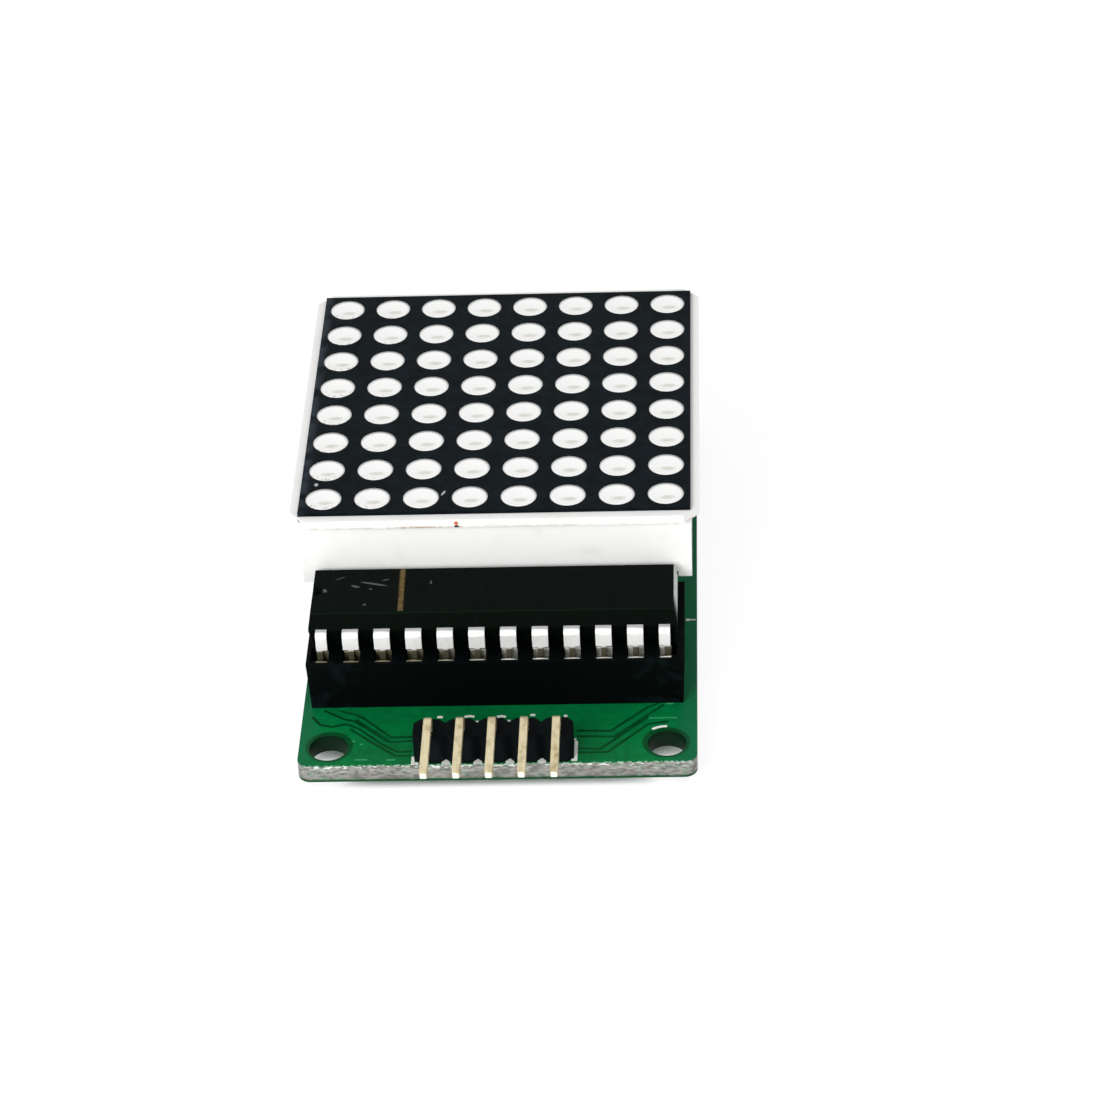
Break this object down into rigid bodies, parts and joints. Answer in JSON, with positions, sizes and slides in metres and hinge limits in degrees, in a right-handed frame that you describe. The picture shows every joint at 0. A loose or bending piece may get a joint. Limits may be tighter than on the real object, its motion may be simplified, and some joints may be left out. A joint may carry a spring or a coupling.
{
  "type": "led dot matrix",
  "caption": "Square LED dot matrix display plugged into a green board, with a socketed driver chip and a bent-pin input header.",
  "frame": {"origin": "middle of the object's box in X and Y, on the tips of the solder joints that it stands on", "axes": "+Y from the input header to the display, +Z out of the display's face, +X to the right seen from the header"},
  "size_m": [0.033, 0.0556, 0.0158],
  "materials": {
    "board": "green solder mask on glass-fibre board, pale cut edges",
    "header_plastic": "black moulded nylon, satin",
    "header_metal": "thin gold flash on square wire, bright cut ends",
    "socket_plastic": "black moulded polyester, satin",
    "contact_metal": "tinned phosphor bronze, slightly dull",
    "chip_resin": "black moulding compound, fine matt grain",
    "tinned_lead": "bright tin plate",
    "display_shell": "white moulded plastic, satin, faint dirt at the rim",
    "display_black": "black printed face with fine specks",
    "clear_epoxy": "milky cast epoxy, smooth",
    "led_chip": "semiconductor chip",
    "substrate": "bare glass-fibre board",
    "potting": "poured resin, glossy",
    "strip_plastic": "black moulded nylon, satin",
    "resistor_lacquer": "tan lacquer with plain colour bands",
    "can_metal": "bare aluminium with a scored top",
    "can_film": "shrunk dark film",
    "bung_rubber": "matt rubber",
    "ceramic_dip": "ochre dipped coating",
    "solder": "bright solder, slightly rippled"
  },
  "bodies": {
    "root": {"circuit_board": "board", "header_block": "header_plastic", "header_pin_1": "header_metal", "header_pin_2": "header_metal", "header_pin_3": "header_metal", "header_pin_4": "header_metal", "header_pin_5": "header_metal", "chip_socket": "socket_plastic", "chip_socket_contacts": "contact_metal", "front_strip_contacts": "contact_metal", "rear_strip_contacts": "contact_metal", "chip_body": "chip_resin", "chip_lead_1": "tinned_lead", "chip_lead_2": "tinned_lead", "chip_lead_3": "tinned_lead", "chip_lead_4": "tinned_lead", "chip_lead_5": "tinned_lead", "chip_lead_6": "tinned_lead", "chip_lead_7": "tinned_lead", "chip_lead_8": "tinned_lead", "chip_lead_9": "tinned_lead", "chip_lead_10": "tinned_lead", "chip_lead_11": "tinned_lead", "chip_lead_12": "tinned_lead", "chip_lead_13": "tinned_lead", "chip_lead_14": "tinned_lead", "chip_lead_15": "tinned_lead", "chip_lead_16": "tinned_lead", "chip_lead_17": "tinned_lead", "chip_lead_18": "tinned_lead", "chip_lead_19": "tinned_lead", "chip_lead_20": "tinned_lead", "chip_lead_21": "tinned_lead", "chip_lead_22": "tinned_lead", "chip_lead_23": "tinned_lead", "chip_lead_24": "tinned_lead", "display_pins": "tinned_lead", "resistor_leads": "tinned_lead", "electrolytic_leads": "tinned_lead", "ceramic_capacitor_leads": "tinned_lead", "display_housing": "display_shell", "display_face": "display_black", "dot_epoxy": "clear_epoxy", "led_dice": "led_chip", "display_substrate": "substrate", "display_potting": "potting", "front_strip": "strip_plastic", "rear_strip": "strip_plastic", "resistor": "resistor_lacquer", "electrolytic_can": "can_metal", "electrolytic_sleeve": "can_film", "electrolytic_bung": "bung_rubber", "ceramic_capacitor": "ceramic_dip", "header_solder": "solder", "chip_solder": "solder", "strip_solder": "solder", "small_part_solder": "solder"}
  },
  "joints": []
}
